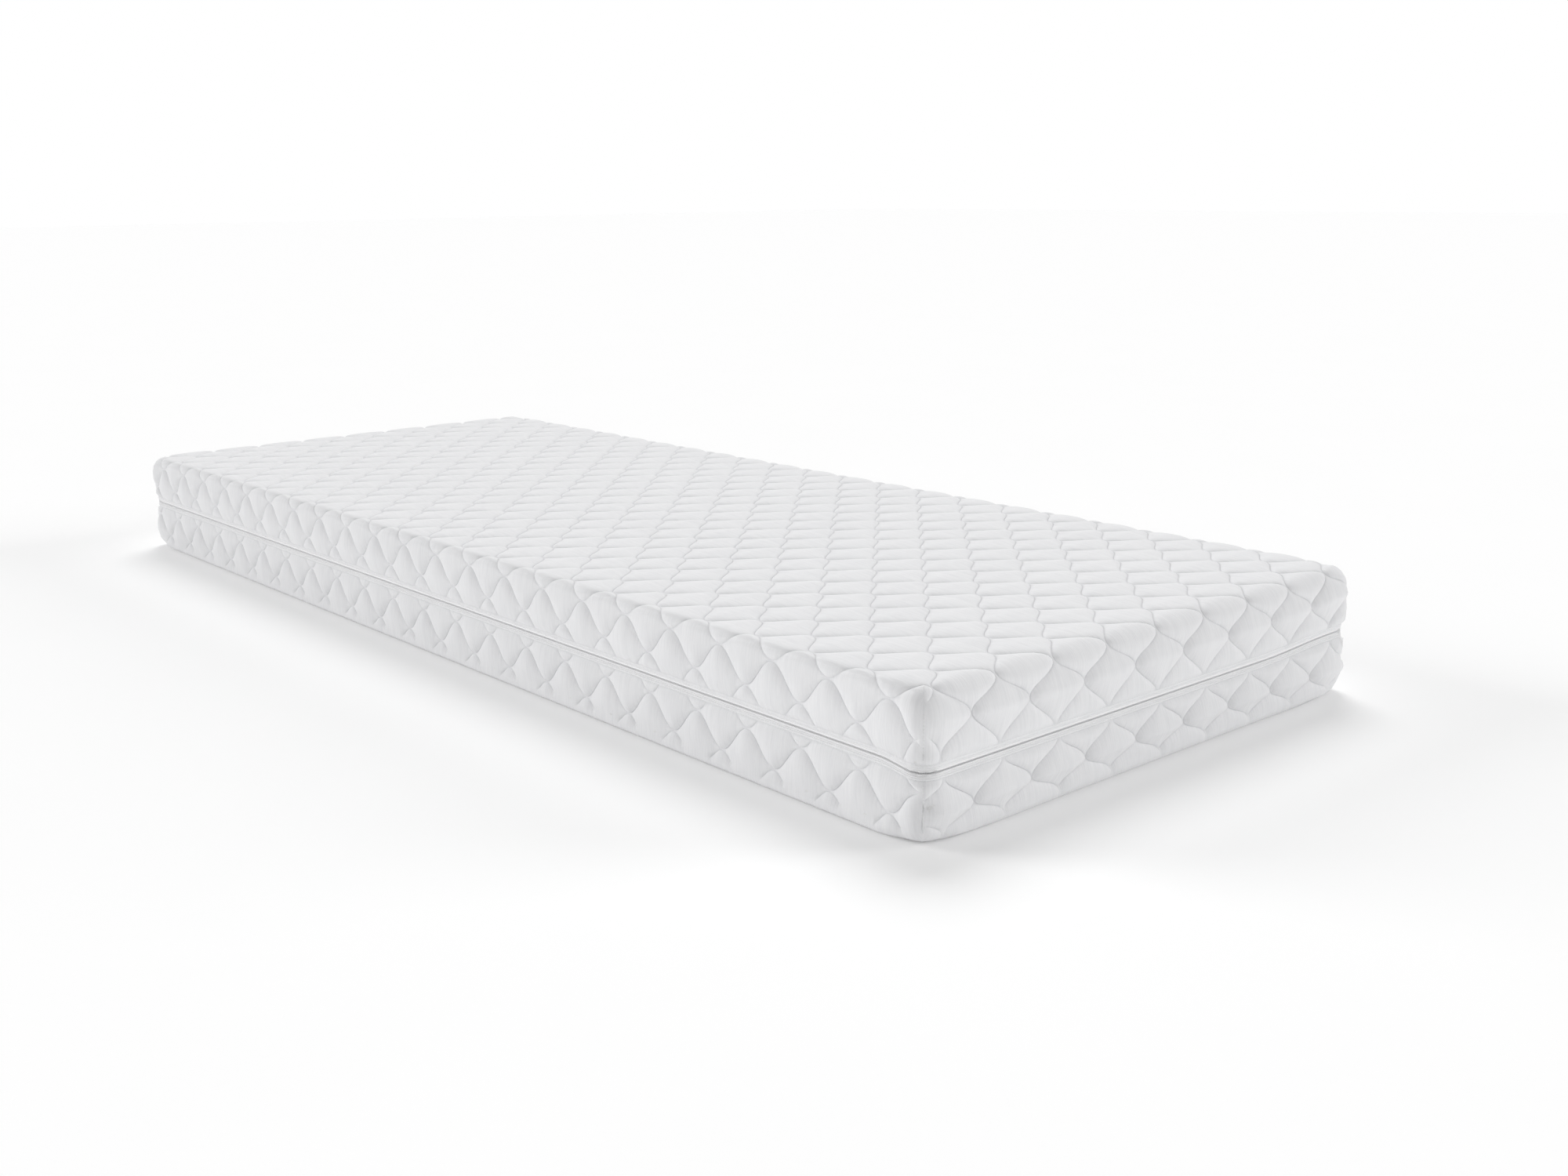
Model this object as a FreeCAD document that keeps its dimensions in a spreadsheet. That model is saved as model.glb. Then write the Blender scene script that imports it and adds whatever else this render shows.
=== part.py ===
import FreeCAD, Part

import math
import os

import Sketcher

# A single foam mattress in a zip-off quilted cover, in millimetres.
# X runs along the length, Y across the width and Z up. The origin is on the underside, at its centre.
# The zip round the perimeter splits the cover into a bottom half, which is the fixed body, and a top
# half, which lifts off. The two glued foam layers lift out between them. The slider runs along the
# straight stretch of the zip on the +Y side, and its pull swings on the slider's bridge.

doc = FreeCAD.newDocument("Mattress")


# ---------------------------------------------------------------- driving dimensions

SIZES = {
    "length": 2000,
    "width": 800,
    "height": 170,
    "plan_radius": 30,
    "edge_radius": 28,
    "zip_level": 84,
    # cover layers, from the outside in
    "ticking": 1.2,
    "wadding": 8,
    "backing": 1,
    # the ticking's rim turns in towards the zip, and the lining stops short of it
    "rim_gap": 5,
    "rim_lip": 6.3,
    "lining_gap": 15,
    # sewing thread
    "thread": 1,
    # zip tape and coil
    "tape_inset": 8,
    "tape_thickness": 0.8,
    "tape_gap": 0.6,
    "tape_reach": 14,
    "coil": 2.8,
    "coil_break_start": -952,
    "coil_break_end": -916,
    # crimped stop at the coil's closing end
    "stop_place": -950.6,
    "stop_length": 2.4,
    "stop_wall": 0.8,
    "stop_bridge": 0.45,
    "stop_reach": 4.2,
    # foam
    "foam_side_gap": 1.3,
    "foam_end_gap": 0.3,
    "memory_layer": 40,
    # slider, parked in the break of the coil
    "slider_place": -934,
    "slider_length": 11,
    "slider_half_width": 4.6,
    "slider_plate": 1,
    "slider_clearance": 0.3,
    "slider_flange": 0.8,
    "slider_neck": 0.6,
    "slider_neck_length": 3,
    "slider_corner": 1.6,
    "bridge_span": 8,
    "bridge_width": 2,
    "bridge_height": 3.4,
    "bridge_opening": 5.4,
    "bridge_clear": 2,
    "bridge_round": 1.2,
    # pull
    "pull_length": 24,
    "pull_width": 7,
    "pull_thickness": 1.2,
    "pull_gap": 0.25,
    "pull_pivot_round": 0.58,
    "pull_window_width": 3.2,
    "pull_window_length": 4.6,
    "pull_hole": 3.4,
    "pull_corner": 2.5,
}

sheet = doc.addObject("Spreadsheet::Sheet", "Sizes")
for row, (alias, value) in enumerate(SIZES.items(), start=1):
    sheet.set(f"A{row}", alias)
    sheet.set(f"B{row}", str(value))
    sheet.setAlias(f"B{row}", alias)
doc.recompute()

# Depths below the mattress's outline, written with the sheet's words
LINING = "ticking"
BACKING = "ticking + wadding"
FOAM = "ticking + wadding + backing + foam_side_gap"
FOAM_END = "ticking + wadding + backing + foam_end_gap"
TAPE_BACK = "tape_inset + tape_thickness"
COIL_LINE = "tape_inset - coil / 2"
COIL_FRONT = "tape_inset - coil"


def bound(text):
    """The same expression with every word taken from the sheet."""
    return " ".join(f"Sizes.{word}" if word in SIZES else word for word in text.split())


def worth(text):
    """What an expression comes to, in millimetres."""
    return float(sheet.evalExpression(text))


# ---------------------------------------------------------------- sketches

START, END, CENTRE = 1, 2, 3
ORIGIN = (-1, 1)
UP = FreeCAD.Vector(0, 0, 1)

parts = []


def new_body(name):
    body = doc.addObject("PartDesign::Body", name)
    body.Label = name
    parts.append(body)
    return body


def new_sketch(body, name, plane, offset="0"):
    """A sketch on one of the body's own planes, moved off it by the offset expression."""
    sketch = body.newObject("Sketcher::SketchObject", f"{body.Label}_{name}")
    plane_of = {feature.Role: feature for feature in body.Origin.OriginFeatures}
    sketch.AttachmentSupport = [(plane_of[plane], "")]
    sketch.MapMode = "FlatFace"
    sketch.setExpression(".AttachmentOffset.Base.z", bound(offset))
    return sketch


def constrain(sketch, *constraints):
    for constraint in constraints:
        sketch.addConstraint(Sketcher.Constraint(*constraint))


def dimension(sketch, text, kind, *places):
    """A driving dimension bound to the sheet."""
    index = sketch.addConstraint(Sketcher.Constraint(kind, *places, worth(text)))
    sketch.setExpression(f"Constraints[{index}]", bound(text))


def add_line(sketch, start, end):
    line = Part.LineSegment(FreeCAD.Vector(*start, 0), FreeCAD.Vector(*end, 0))
    return sketch.addGeometry(line)


def add_circle(sketch, centre, radius):
    return sketch.addGeometry(Part.Circle(FreeCAD.Vector(*centre, 0), UP, radius))


def add_arc(sketch, centre, radius, degrees):
    """A quarter turn anticlockwise from the given angle."""
    circle = Part.Circle(FreeCAD.Vector(*centre, 0), UP, radius)
    turn = Part.ArcOfCircle(circle, math.radians(degrees), math.radians(degrees + 90))
    return sketch.addGeometry(turn)


def draw_outline(sketch, inset="0"):
    """The mattress's outline in plan, a rectangle with round corners, moved in by the inset."""
    length = f"length - 2 * ( {inset} )"
    width = f"width - 2 * ( {inset} )"
    radius = f"plan_radius - ( {inset} )"
    half_x, half_y, corner = worth(length) / 2, worth(width) / 2, worth(radius)
    a, b = half_x - corner, half_y - corner
    sides = [
        ((-a, -half_y), (a, -half_y)),
        ((half_x, -b), (half_x, b)),
        ((a, half_y), (-a, half_y)),
        ((-half_x, b), (-half_x, -b)),
    ]
    centres = [(a, -b), (a, b), (-a, b), (-a, -b)]
    lines, arcs = [], []
    for quarter, (side, centre) in enumerate(zip(sides, centres)):
        lines.append(add_line(sketch, *side))
        arcs.append(add_arc(sketch, centre, corner, 90 * quarter - 90))
    front, right, back, left = lines
    for quarter in range(4):
        following = lines[(quarter + 1) % 4]
        constrain(
            sketch,
            ("Tangent", lines[quarter], END, arcs[quarter], START),
            ("Tangent", arcs[quarter], END, following, START),
        )
    constrain(
        sketch,
        ("Horizontal", front),
        ("Vertical", right),
        ("Horizontal", back),
        ("Vertical", left),
        ("Equal", arcs[0], arcs[1]),
        ("Equal", arcs[0], arcs[2]),
        ("Equal", arcs[0], arcs[3]),
        ("Symmetric", arcs[0], CENTRE, arcs[2], CENTRE, *ORIGIN),
    )
    dimension(sketch, length, "DistanceX", left, END, right, START)
    dimension(sketch, width, "DistanceY", front, END, back, START)
    dimension(sketch, radius, "Radius", arcs[0])


def draw_box(sketch, low, high):
    """A rectangle between two corners, each given as a pair of expressions."""
    x0, y0, x1, y1 = (worth(text) for text in (*low, *high))
    corners = [(x0, y0), (x1, y0), (x1, y1), (x0, y1)]
    lines = [add_line(sketch, corners[i], corners[(i + 1) % 4]) for i in range(4)]
    for i in range(4):
        constrain(sketch, ("Coincident", lines[i], END, lines[(i + 1) % 4], START))
        constrain(sketch, ("Vertical" if i % 2 else "Horizontal", lines[i]))
    place_point(sketch, lines[0], START, low)
    place_point(sketch, lines[2], START, high)
    return lines


def place_point(sketch, line, end, place):
    """Dimensions from the origin to a point. Each is measured in the direction it goes."""
    for kind, text in zip(("DistanceX", "DistanceY"), place):
        if worth(text) < 0:
            dimension(sketch, f"- ( {text} )", kind, line, end, *ORIGIN)
        else:
            dimension(sketch, text, kind, *ORIGIN, line, end)


# ---------------------------------------------------------------- features


def pad(sketch, length, down=False, both_ways=False):
    body = sketch.getParentGeoFeatureGroup()
    feature = body.newObject("PartDesign::Pad", f"{sketch.Label}_pad")
    feature.Profile = sketch
    feature.setExpression("Length", bound(length))
    feature.Reversed = down
    if both_ways:
        feature.SideType = "Symmetric"
    doc.recompute()
    return feature


def pocket(sketch, length):
    """Cuts the sketch's shape out, by the length, evenly to both sides of its plane."""
    body = sketch.getParentGeoFeatureGroup()
    before = body.Shape.Volume
    feature = body.newObject("PartDesign::Pocket", f"{sketch.Label}_pocket")
    feature.Profile = sketch
    feature.setExpression("Length", bound(length))
    feature.SideType = "Symmetric"
    doc.recompute()
    assert body.Shape.Volume < before - 0.001, f"{feature.Label} cuts nothing"
    return feature


def edges_where(shape, test):
    """Names of the edges whose bounding box passes the test."""
    return [f"Edge{index}" for index, edge in enumerate(shape.Edges, start=1) if test(edge.BoundBox)]


def near(value, target):
    return abs(value - target) < 0.01


def edges_at_level(shape, level):
    """The edges that lie flat at one height."""
    return edges_where(shape, lambda box: near(box.ZMin, level) and near(box.ZMax, level))


def edges_along_z(shape, x, least_y=-math.inf):
    """The straight edges along Z at one X, with Y from the least given."""
    return edges_where(
        shape,
        lambda box: near(box.XMin, x) and near(box.XMax, x) and near(box.YLength, 0) and box.YMin > least_y,
    )


def edges_along_y(shape, x=None):
    """The straight edges along Y, all of them or those at one X."""
    return edges_where(
        shape,
        lambda box: near(box.XLength, 0) and near(box.ZLength, 0) and (x is None or near(box.XMin, x)),
    )


def round_edges(base, names, radius):
    body = base.getParentGeoFeatureGroup()
    assert names, f"{base.Label} has no edges to round"
    feature = body.newObject("PartDesign::Fillet", f"{base.Label}_round")
    feature.Base = (base, names)
    feature.setExpression("Radius", bound(radius))
    doc.recompute()
    return feature


def bevel_edges(base, names, reach):
    body = base.getParentGeoFeatureGroup()
    feature = body.newObject("PartDesign::Chamfer", f"{base.Label}_bevel")
    feature.Base = (base, names)
    feature.setExpression("Size", bound(reach))
    doc.recompute()
    return feature


def hollow_out(base, level, wall):
    """Leaves a shell inside the solid, open at its flat face at the level."""
    body = base.getParentGeoFeatureGroup()
    open_face = next(
        f"Face{index}"
        for index, face in enumerate(base.Shape.Faces, start=1)
        if near(face.BoundBox.ZMin, level) and near(face.BoundBox.ZMax, level)
    )
    before = base.Shape.Volume
    feature = body.newObject("PartDesign::Thickness", f"{base.Label}_shell")
    feature.Base = (base, [open_face])
    feature.setExpression("Value", bound(wall))
    feature.Reversed = True
    feature.Join = "Intersection"
    doc.recompute()
    assert feature.Shape.Volume < before / 2, f"{feature.Label} isn't hollow"
    return feature


# ---------------------------------------------------------------- cover

HALVES = {
    "top": {"rim": "zip_level + rim_gap", "lining_rim": "zip_level + lining_gap", "sign": 1},
    "bottom": {"rim": "zip_level - rim_gap", "lining_rim": "zip_level - lining_gap", "sign": -1},
}


def make_layer(half, name, inset, wall, rim, lip=None):
    """One layer of a cover half: a shallow tray with round edges, open at the zip."""
    top = half == "top"
    body = new_body(f"{half}_{name}")
    outline = new_sketch(body, "outline", "XY_Plane", rim)
    draw_outline(outline, inset)
    far_level = f"height - ( {inset} )" if top else inset
    depth = f"{far_level} - ( {rim} )" if top else f"{rim} - ( {far_level} )"
    block = pad(outline, depth, down=not top)
    solid = round_edges(block, edges_at_level(block.Shape, worth(far_level)), f"edge_radius - ( {inset} )")
    if lip:
        solid = bevel_edges(solid, edges_at_level(solid.Shape, worth(rim)), lip)
    hollow_out(solid, worth(rim), wall)


def make_corner_seams(half):
    """The seam at each corner of a cover half: four upright beads of thread."""
    top = half == "top"
    seams = []
    low = f"{HALVES[half]['rim']} + rim_lip" if top else "edge_radius + thread"
    high = "height - edge_radius - thread" if top else f"{HALVES[half]['rim']} - rim_lip"
    inset = "plan_radius - ( plan_radius - ticking / 2 ) * cos( 45 )"
    for end in (-1, 1):
        for side in (-1, 1):
            seam = doc.addObject("Part::Cylinder", f"{half}_seam_{len(seams) + 1}")
            seam.setExpression("Radius", bound("thread / 2"))
            seam.setExpression("Height", bound(f"{high} - ( {low} )"))
            seam.setExpression(".Placement.Base.x", bound(f"{end} * ( length / 2 - ( {inset} ) )"))
            seam.setExpression(".Placement.Base.y", bound(f"{side} * ( width / 2 - ( {inset} ) )"))
            seam.setExpression(".Placement.Base.z", bound(low))
            seams.append(seam)
    group = doc.addObject("Part::Compound", f"{half}_corner_seams")
    group.Links = seams
    parts.append(group)


def make_ring(body, inset, level, diameter):
    """A round bead that follows the outline at one level."""
    path = new_sketch(body, "path", "XY_Plane", level)
    draw_outline(path, inset)
    section = new_sketch(body, "section", "XZ_Plane")
    centre = (worth(f"length / 2 - ( {inset} )"), worth(level))
    circle = add_circle(section, centre, worth(diameter) / 2)
    place_point(section, circle, CENTRE, (f"length / 2 - ( {inset} )", level))
    dimension(section, diameter, "Diameter", circle)
    bead = body.newObject("PartDesign::AdditivePipe", f"{body.Label}_bead")
    bead.Profile = section
    bead.Spine = path
    doc.recompute()
    return bead


def make_hem_stitching(half):
    """The row of thread through the middle of the turned-in rim."""
    sign = HALVES[half]["sign"]
    body = new_body(f"{half}_hem_stitching")
    make_ring(body, "rim_lip / 2", f"{HALVES[half]['rim']} + {sign} * rim_lip / 2", "thread")


def make_zip_tape(half, name):
    """A flat band on edge, all the way round."""
    top = half == "top"
    body = new_body(name)
    free_edge = "zip_level + tape_gap" if top else "zip_level - tape_gap"
    outline = new_sketch(body, "outline", "XY_Plane", free_edge)
    draw_outline(outline, "tape_inset")
    draw_outline(outline, TAPE_BACK)
    pad(outline, "tape_reach - tape_gap", down=not top)


def make_zip_coil(half, name):
    """The coil's envelope, a round bead with a break where the slider is parked."""
    sign = HALVES[half]["sign"]
    body = new_body(name)
    make_ring(body, COIL_LINE, f"zip_level + {sign} * ( tape_gap + coil / 2 )", "coil")
    gap = new_sketch(body, "break", "XY_Plane", "zip_level")
    draw_box(gap, ("coil_break_start", "width / 2 - tape_inset - coil"), ("coil_break_end", "width / 2"))
    pocket(gap, "4 * coil")


def make_zip_stop(half, name):
    """A crimp round the free edge of the tape, at the closing end of the coil."""
    sign = HALVES[half]["sign"]
    body = new_body(name)
    outline = new_sketch(body, "outline", "YZ_Plane", "stop_place")
    levels = [f"zip_level + {sign} * ( tape_gap - stop_bridge )", f"zip_level + {sign} * stop_reach"]
    low, high = levels if sign > 0 else reversed(levels)
    depths = (f"width / 2 - ( {TAPE_BACK} ) - stop_wall", "width / 2 - tape_inset + 2 * stop_wall")
    draw_box(outline, (depths[0], low), (depths[1], high))
    pad(outline, "stop_length", both_ways=True)
    slot = new_sketch(body, "slot", "YZ_Plane", "stop_place")
    edge, open_end = f"zip_level + {sign} * tape_gap", f"zip_level + {sign} * 2 * stop_reach"
    low, high = (edge, open_end) if sign > 0 else (open_end, edge)
    draw_box(slot, (f"width / 2 - ( {TAPE_BACK} )", low), ("width / 2 - tape_inset", high))
    pocket(slot, "2 * stop_length")


for half in HALVES:
    make_layer(half, "ticking", "0", "ticking", HALVES[half]["rim"], lip="rim_lip")
    make_layer(half, "wadding", LINING, "wadding", HALVES[half]["lining_rim"])
    make_layer(half, "backing", BACKING, "backing", HALVES[half]["lining_rim"])
    make_corner_seams(half)
    make_hem_stitching(half)
for half, place in (("top", "upper"), ("bottom", "lower")):
    make_zip_tape(half, f"zip_tape_{place}")
    make_zip_coil(half, f"zip_coil_{place}")
    make_zip_stop(half, f"zip_stop_{place}")


# ---------------------------------------------------------------- foam


def make_foam(name, low, high, rounded):
    """A block of foam with its outer edges round, where the cover draws them in."""
    body = new_body(name)
    outline = new_sketch(body, "outline", "XY_Plane", low)
    draw_outline(outline, FOAM)
    block = pad(outline, f"{high} - ( {low} )")
    round_edges(block, edges_at_level(block.Shape, worth(rounded)), f"plan_radius - ( {FOAM} )")


foam_low = FOAM_END
foam_high = f"height - ( {FOAM_END} )"
foam_split = f"{foam_high} - memory_layer"
make_foam("support_foam_core", foam_low, foam_split, rounded=foam_low)
make_foam("memory_foam_layer", foam_split, foam_high, rounded=foam_high)


# ---------------------------------------------------------------- slider and pull
# These are drawn about the middle of the slider, with Y pointing out of the mattress, and then placed.

SLIDER_INNER = f"{COIL_FRONT} - slider_clearance"
SLIDER_OUTER = f"{SLIDER_INNER} - slider_plate"
NECK_BACK = f"{TAPE_BACK} + slider_clearance"
PULL_LINE = f"{SLIDER_OUTER} - pull_gap - pull_thickness / 2"


def place_on_zip(body):
    body.setExpression(".Placement.Base.x", bound("slider_place"))
    body.setExpression(".Placement.Base.y", bound("width / 2"))
    body.setExpression(".Placement.Base.z", bound("zip_level"))


def make_slider():
    """Two plates joined by a neck. Flanges on the outer plate lap the coils, clear of the tapes."""
    body = new_body("slider_body")
    half_length = "slider_length / 2"
    profile = new_sketch(body, "outer_plate", "XZ_Plane", SLIDER_OUTER)
    draw_box(profile, (f"- {half_length}", "- slider_half_width"), (half_length, "slider_half_width"))
    plate = pad(profile, "slider_plate")
    round_edges(plate, edges_along_y(plate.Shape), "slider_corner")
    for sign in (-1, 1):
        flange = new_sketch(body, f"flange_{'lower' if sign < 0 else 'upper'}", "XZ_Plane", SLIDER_INNER)
        inside, outside = "slider_half_width - slider_flange", "slider_half_width"
        low, high = (f"- ( {outside} )", f"- ( {inside} )") if sign < 0 else (inside, outside)
        run = f"{half_length} - slider_corner"
        draw_box(flange, (f"- ( {run} )", low), (run, high))
        pad(flange, f"tape_inset - slider_clearance - ( {SLIDER_INNER} )")
    neck = new_sketch(body, "neck", "XZ_Plane", SLIDER_INNER)
    draw_box(
        neck,
        (f"{half_length} - slider_corner - slider_neck_length", "- slider_neck / 2"),
        (f"{half_length} - slider_corner", "slider_neck / 2"),
    )
    pad(neck, f"{NECK_BACK} - ( {SLIDER_INNER} )")
    back = new_sketch(body, "inner_plate", "XZ_Plane", NECK_BACK)
    draw_box(back, (f"- {half_length}", "- slider_half_width"), (half_length, "slider_half_width"))
    pad(back, "slider_plate")
    place_on_zip(body)


def make_bridge():
    """An arch along the slider, standing on its outer plate."""
    body = new_body("slider_bridge")
    foot = f"- ( {SLIDER_OUTER} )"
    side = new_sketch(body, "side", "XY_Plane")
    draw_box(side, ("- bridge_span / 2", foot), ("bridge_span / 2", f"{foot} + bridge_height"))
    arch = pad(side, "bridge_width", both_ways=True)
    opening = new_sketch(body, "opening", "XY_Plane")
    draw_box(
        opening,
        ("- bridge_opening / 2", f"{foot} - bridge_clear"),
        ("bridge_opening / 2", f"{foot} + bridge_clear"),
    )
    cut = pocket(opening, "2 * bridge_width")
    half_span, under = worth("bridge_span / 2"), worth(f"{foot} + bridge_clear")
    shoulders = edges_along_z(cut.Shape, -half_span, under) + edges_along_z(cut.Shape, half_span, under)
    round_edges(cut, shoulders, "bridge_round")
    place_on_zip(body)


def make_pull():
    """A flat pull with a window, whose end bar turns under the bridge. It lies along the zip."""
    body = new_body("pull_tab")
    radius = "pull_thickness / 2"
    line = f"- ( {PULL_LINE} )"
    plate = new_sketch(body, "plate", "XY_Plane")
    tip = f"{radius} - pull_length"
    draw_box(plate, (tip, f"{line} - {radius}"), (radius, f"{line} + {radius}"))
    blank = pad(plate, "pull_width", both_ways=True)
    round_edges(blank, edges_along_z(blank.Shape, worth(radius)), "pull_pivot_round")
    window = new_sketch(body, "window", "XZ_Plane")
    draw_box(
        window,
        (f"- ( {radius} + pull_window_length )", "- pull_window_width / 2"),
        (f"- {radius}", "pull_window_width / 2"),
    )
    pocket(window, "4 * tape_inset")
    hole = new_sketch(body, "hole", "XZ_Plane")
    circle = add_circle(hole, (worth(f"{tip} + pull_hole"), 0), worth("pull_hole / 2"))
    place_point(hole, circle, CENTRE, (f"{tip} + pull_hole", "0"))
    dimension(hole, "pull_hole", "Diameter", circle)
    cut = pocket(hole, "4 * tape_inset")
    round_edges(cut, edges_along_y(cut.Shape, worth(tip)), "pull_corner")
    place_on_zip(body)


make_slider()
make_bridge()
make_pull()


# ---------------------------------------------------------------- checks and export

doc.recompute()
for item in doc.Objects:
    assert "Invalid" not in item.State, f"{item.Label} is invalid"
    assert "Error" not in item.State, f"{item.Label} has an error"
for part in parts:
    assert not part.Shape.isNull(), f"{part.Label} has no shape"
    assert part.Shape.isValid(), f"{part.Label} isn't valid"

os.makedirs("parts", exist_ok=True)
for part in parts:
    part.Shape.exportStep(f"parts/{part.Label}.step")
    box = part.Shape.BoundBox
    print(
        f"{part.Label}: {len(part.Shape.Solids)} solid, {part.Shape.Volume / 1000:.2f} cm3, "
        f"x {box.XMin:.1f} to {box.XMax:.1f}, y {box.YMin:.1f} to {box.YMax:.1f}, "
        f"z {box.ZMin:.1f} to {box.ZMax:.1f}"
    )
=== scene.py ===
"""A single foam mattress in a zipped, quilted cover: the looks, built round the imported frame.

Each half of the cover is one flat cut of quilted cloth. Its stitch lines are waves that nearly touch
where they come together, and the cloth puffs up between them. The flat cut is bent over the edges of the
mattress and sewn up the four corners, so the pattern runs on from the top to the sides. The wadding and
the backing are the same cut, further in. Lengths are in metres.
"""

import math

import bpy
import numpy as np
from mathutils import Matrix, Vector


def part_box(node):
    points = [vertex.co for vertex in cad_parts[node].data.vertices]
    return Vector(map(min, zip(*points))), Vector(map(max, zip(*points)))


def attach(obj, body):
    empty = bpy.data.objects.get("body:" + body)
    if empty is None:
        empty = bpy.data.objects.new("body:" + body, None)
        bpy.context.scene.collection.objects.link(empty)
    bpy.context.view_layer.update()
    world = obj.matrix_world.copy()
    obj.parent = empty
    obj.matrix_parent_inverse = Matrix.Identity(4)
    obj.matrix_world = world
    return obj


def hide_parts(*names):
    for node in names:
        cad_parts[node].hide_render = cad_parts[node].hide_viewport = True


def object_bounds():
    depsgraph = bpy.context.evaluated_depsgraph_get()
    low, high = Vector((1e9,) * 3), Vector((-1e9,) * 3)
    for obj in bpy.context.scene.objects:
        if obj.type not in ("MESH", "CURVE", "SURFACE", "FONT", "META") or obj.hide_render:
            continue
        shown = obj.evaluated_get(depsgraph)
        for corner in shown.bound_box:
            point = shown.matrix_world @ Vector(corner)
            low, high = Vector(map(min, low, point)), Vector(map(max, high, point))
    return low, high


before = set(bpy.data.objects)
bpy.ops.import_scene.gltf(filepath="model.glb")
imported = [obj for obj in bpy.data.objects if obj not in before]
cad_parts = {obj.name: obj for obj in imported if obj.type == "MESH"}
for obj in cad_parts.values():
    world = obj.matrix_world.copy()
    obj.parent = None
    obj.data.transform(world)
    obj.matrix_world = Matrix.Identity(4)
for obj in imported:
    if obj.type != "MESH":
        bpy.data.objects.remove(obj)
cad_low, cad_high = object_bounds()

# -------- sizes, from the frame

HALF_LENGTH = cad_high.x
HALF_WIDTH = cad_high.y
HEIGHT = cad_high.z
RIM_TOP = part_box("top_ticking")[0].z
RIM_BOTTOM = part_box("bottom_ticking")[1].z
ZIP_LEVEL = (RIM_TOP + RIM_BOTTOM) / 2
CORNER_RADIUS = 0.028  # of the outside of the cover, in plan and over its edges

RELIEF = 0.0055  # the stitch lines lie this far inside the outline
BASE_RADIUS = CORNER_RADIUS - RELIEF
FLAT_X = HALF_LENGTH - CORNER_RADIUS  # where the corners start
FLAT_Y = HALF_WIDTH - CORNER_RADIUS
HEM = 0.0031  # the hem's stitching, above the rim

# -------- the quilting's pattern

WAVE = 0.478  # the waves' height in gaps between lines: at 0.5 neighbours touch
WAVE_PITCH = 0.0895
GAP = 0.044885  # between stitch lines on the flat
COLUMNS = 18  # of the cloth's mesh in one wave
LEVELS = (0.0, 0.03, 0.08, 0.17, 0.36, 0.64, 0.83, 0.92, 0.97)  # of its rows, from line to line
COARSE_COLUMNS = 12  # the same for the lining
COARSE_LEVELS = (0.0, 0.08, 0.25, 0.5, 0.75, 0.92)

ROUND_TURNS = (0.0, 0.4, 0.8, 1.2, math.pi / 2)  # of an edge, where its mesh has extra rows
CORNER_PULL = 0.0095  # how far the corner seams draw the pattern up the ends
END_DRIFT = 0.0072  # how far the pattern on the ends has drifted towards +Y

TOP_CREST = 0.0044  # how far the puffs stand over their stitch lines
SIDE_CREST = 0.0086
END_CREST = 0.0098
TOP_SHOULDER = 0.0036  # how far from a stitch line the cloth has risen by two thirds
SIDE_SHOULDER = 0.0050
SHOULDER_SHARE = 0.58  # of a puff's height; its dome is the rest
WIDEST = 0.044  # from a stitch line to the middle of a cell
SEAM_SHARE = 0.72  # how far the corner seams stand out, as a share of the puffs
PINCH_LEVELS = {1: 0.104, -1: 0.045}  # where the corner seams draw the cloth in
PINCH = 0.55
SEAM_GROOVE = 0.0011
PRESSED_SHARE = 0.60  # of the puffs' height, where the floor evens them out
CLOTH_THICKNESS = 0.0009

ZIP_SAG = 0.0058  # of the zip across the end at +X, as in the photo
TAPE_THICKNESS = 0.0008
TAPE_BOW = 0.0028  # how far the tapes bow out beside the coils
COIL_WIRE = 0.00034  # half the wire's thickness
COIL_PITCH = 0.00165
COIL_START = -0.916  # along X, on the long side at +Y
COIL_BREAK = 0.036  # left open, where the slider is parked
MESH_OF_TEETH = 0.0011  # how far each coil's loops reach past its CAD ring, between the other's
CORD = 0.00115  # the filler cord that runs inside each coil, half its thickness
CORD_RISE = 0.0015  # and half its height


class Run:
    """How the pattern runs across the cloth one way: evenly on the flat, then through (distance past the
    flat, pattern) knots over the edge and down the side, the same at both ends."""

    def __init__(self, flat, pitch, knots):
        reach = 0.16
        past = [0.0] + [k[0] for k in knots]
        rise = [0.0] + [k[1] - knots[0][2] for k in knots]
        last_slope = (rise[-1] - rise[-2]) / (past[-1] - past[-2])
        past.append(reach)
        rise.append(rise[-1] + (reach - past[-2]) * last_slope)
        fine = np.linspace(0, reach, 161)
        rises = monotone(np.array(past), np.array(rise), 1 / pitch, fine)
        middle_value = knots[0][2] - flat / pitch
        self.cloth = np.concatenate([-flat - fine[::-1], flat + fine])
        low, high = middle_value - flat / pitch, middle_value + flat / pitch
        self.pattern = np.concatenate([low - rises[::-1], high + rises])
        self.limit = flat + reach

    def to_pattern(self, cloth):
        return np.interp(cloth, self.cloth, self.pattern)

    def to_cloth(self, pattern):
        return np.interp(pattern, self.pattern, self.cloth)

    def stretch(self, cloth):
        """How fast the pattern runs along the cloth."""
        step = 1e-4
        return (self.to_pattern(cloth + step) - self.to_pattern(cloth - step)) / (2 * step)

    def span(self):
        return self.to_pattern(-self.limit), self.to_pattern(self.limit)


def monotone(x, y, first_slope, at):
    """A smooth rising curve through the points (x, y), with the given slope at its start."""
    step = np.diff(y) / np.diff(x)
    slope = np.concatenate([[first_slope], 2 / (1 / step[1:] + 1 / step[:-1]), [step[-1]]])
    piece = np.clip(np.searchsorted(x, at, side="right") - 1, 0, len(x) - 2)
    width = x[piece + 1] - x[piece]
    share = (at - x[piece]) / width
    return (
        y[piece] * (1 + 2 * share) * (1 - share) ** 2
        + slope[piece] * width * share * (1 - share) ** 2
        + y[piece + 1] * share**2 * (3 - 2 * share)
        + slope[piece + 1] * width * share**2 * (share - 1)
    )


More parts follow.
